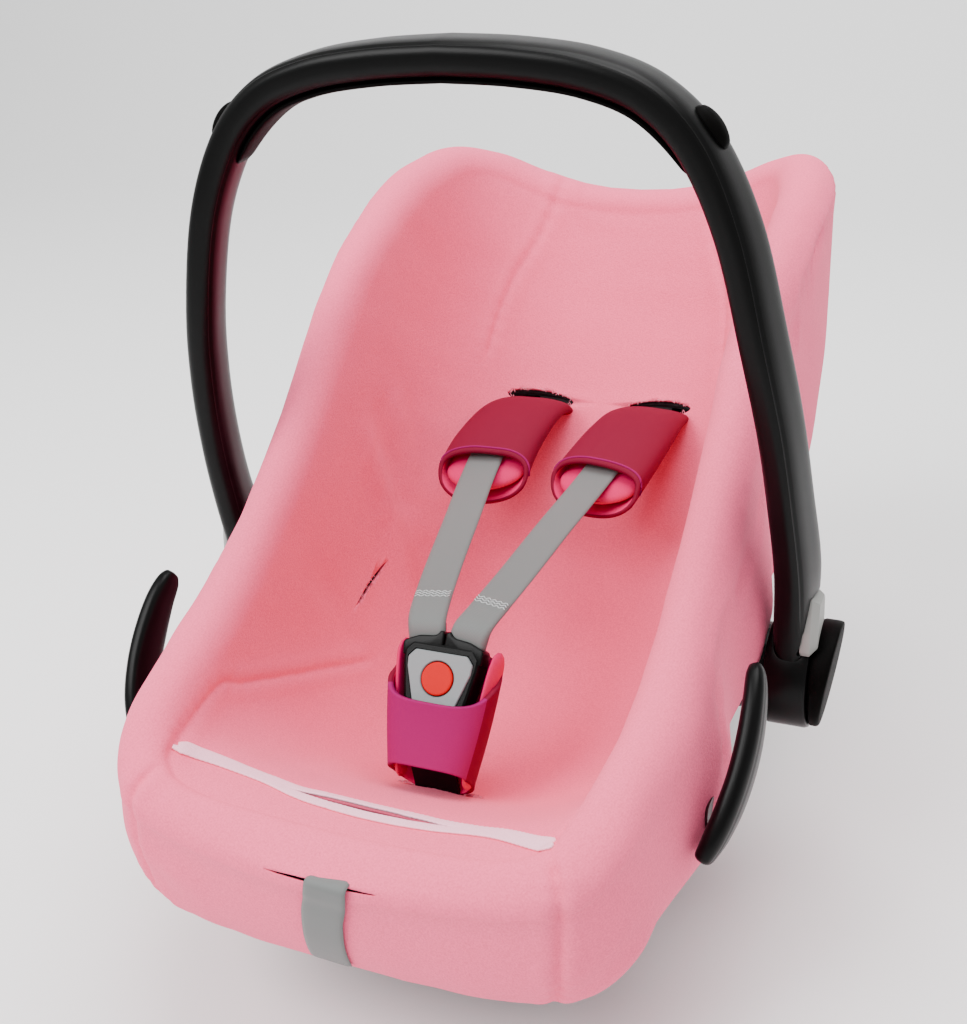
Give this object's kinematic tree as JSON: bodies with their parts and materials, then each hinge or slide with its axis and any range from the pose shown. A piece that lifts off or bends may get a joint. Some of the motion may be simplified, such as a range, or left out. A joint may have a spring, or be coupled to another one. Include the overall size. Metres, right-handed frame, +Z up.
{
  "type": "infant car seat",
  "caption": "Infant car seat carrier with a swinging carry handle, a pink stretch cover over a padded bucket, belt guides and a three-point harness with a press-button buckle.",
  "frame": {"origin": "centre of the footprint, on the plane the rocker rails stand on", "axes": "+Z up, +Y towards the head end, +X towards the seat's left-hand side seen from the foot end's right"},
  "size_m": [0.4308, 0.6116, 0.5644],
  "materials": {
    "black_plastic": "satin",
    "soft_black": "fine matte grain",
    "grey_plastic": "satin",
    "pale_grey": "satin",
    "red_plastic": "semi-gloss",
    "terry_pink": "stretch terry",
    "pale_binding": "woven binding",
    "crimson_pad": "neoprene",
    "webbing": "woven webbing",
    "foam": "expanded foam",
    "steel": "zinc plated"
  },
  "bodies": {
    "seat": {"Shell": "black_plastic", "Foam_Liner": "foam", "Seat_Cover": "terry_pink", "Cover_Binding": "pale_binding", "Rocker_Rail_L": "soft_black", "Rocker_Rail_R": "soft_black", "Dock_Bar_Front": "steel", "Dock_Bar_Rear": "steel", "Belt_Guide_L": "black_plastic", "Belt_Guide_R": "black_plastic", "Belt_Guide_Cheek_L": "black_plastic", "Belt_Guide_Cheek_R": "black_plastic", "Shoulder_Belt_Hook": "black_plastic", "Hub_Boss_L": "black_plastic", "Hub_Boss_R": "black_plastic", "Pivot_Axle_L": "steel", "Pivot_Axle_R": "steel", "Buckle_Housing": "black_plastic", "Buckle_Plate": "pale_grey", "Buckle_Spring": "steel", "Belt_Tongue_L": "black_plastic", "Belt_Tongue_R": "black_plastic", "Crotch_Strap": "black_plastic", "Crotch_Pad": "crimson_pad", "Shoulder_Strap_L": "webbing", "Shoulder_Strap_R": "webbing", "Shoulder_Pad_L": "crimson_pad", "Shoulder_Pad_R": "crimson_pad", "Harness_Splitter": "steel", "Adjuster_Housing": "black_plastic", "Adjuster_Pin": "steel", "Adjuster_Spring": "steel", "Adjuster_Strap": "webbing"},
    "handle": {"Carry_Handle": "black_plastic", "Handle_Grip": "soft_black", "Canopy_Hook_L": "soft_black", "Canopy_Hook_R": "soft_black", "Hub_Disc_L": "soft_black", "Hub_Disc_R": "soft_black", "Lock_Spring_L": "steel", "Lock_Spring_R": "steel"},
    "lock_gear_left": {"Lock_Gear_L": "grey_plastic"},
    "lock_gear_right": {"Lock_Gear_R": "grey_plastic"},
    "release_button_left": {"Release_Button_L": "grey_plastic"},
    "release_button_right": {"Release_Button_R": "grey_plastic"},
    "buckle_button": {"Buckle_Button": "red_plastic"},
    "adjuster_lever": {"Adjuster_Lever": "grey_plastic"}
  },
  "joints": [
    {"name": "handle_pivot", "type": "hinge", "parent": "seat", "child": "handle", "pos_m": [0, -0.0301, 0.168], "axis": [-1, 0, 0], "range_deg": [-28, 30]},
    {"name": "release_press_left", "type": "slide", "parent": "handle", "child": "release_button_left", "axis": [1, 0, 0], "range_m": [0, 0.0045], "stiffness_N_per_m": 700, "springref_m": -0.003, "deforming": ["Lock_Spring_L"]},
    {"name": "release_press_right", "type": "slide", "parent": "handle", "child": "release_button_right", "axis": [-1, 0, 0], "range_m": [0, 0.0045], "stiffness_N_per_m": 700, "springref_m": -0.003, "deforming": ["Lock_Spring_R"]},
    {"name": "lock_gear_slide_left", "type": "slide", "parent": "handle", "child": "lock_gear_left", "axis": [1, 0, 0], "range_m": [0, 0.0046]},
    {"name": "lock_gear_slide_right", "type": "slide", "parent": "handle", "child": "lock_gear_right", "axis": [-1, 0, 0], "range_m": [0, 0.0046]},
    {"name": "buckle_press", "type": "slide", "parent": "seat", "child": "buckle_button", "axis": [0, 0.809, -0.5878], "range_m": [0, 0.004], "stiffness_N_per_m": 900, "springref_m": -0.003, "deforming": ["Buckle_Spring"]},
    {"name": "adjuster_press", "type": "hinge", "parent": "seat", "child": "adjuster_lever", "pos_m": [0, -0.26019, 0.16207], "axis": [-1, 0, 0], "range_deg": [0, 11], "stiffness_Nm_per_rad": 0.12, "springref_deg": -8.59, "deforming": ["Adjuster_Spring"]}
  ],
  "couplings": [
    {"joint": "lock_gear_slide_left", "follows": "release_press_left", "ratio": 1},
    {"joint": "lock_gear_slide_right", "follows": "release_press_right", "ratio": 1}
  ]
}
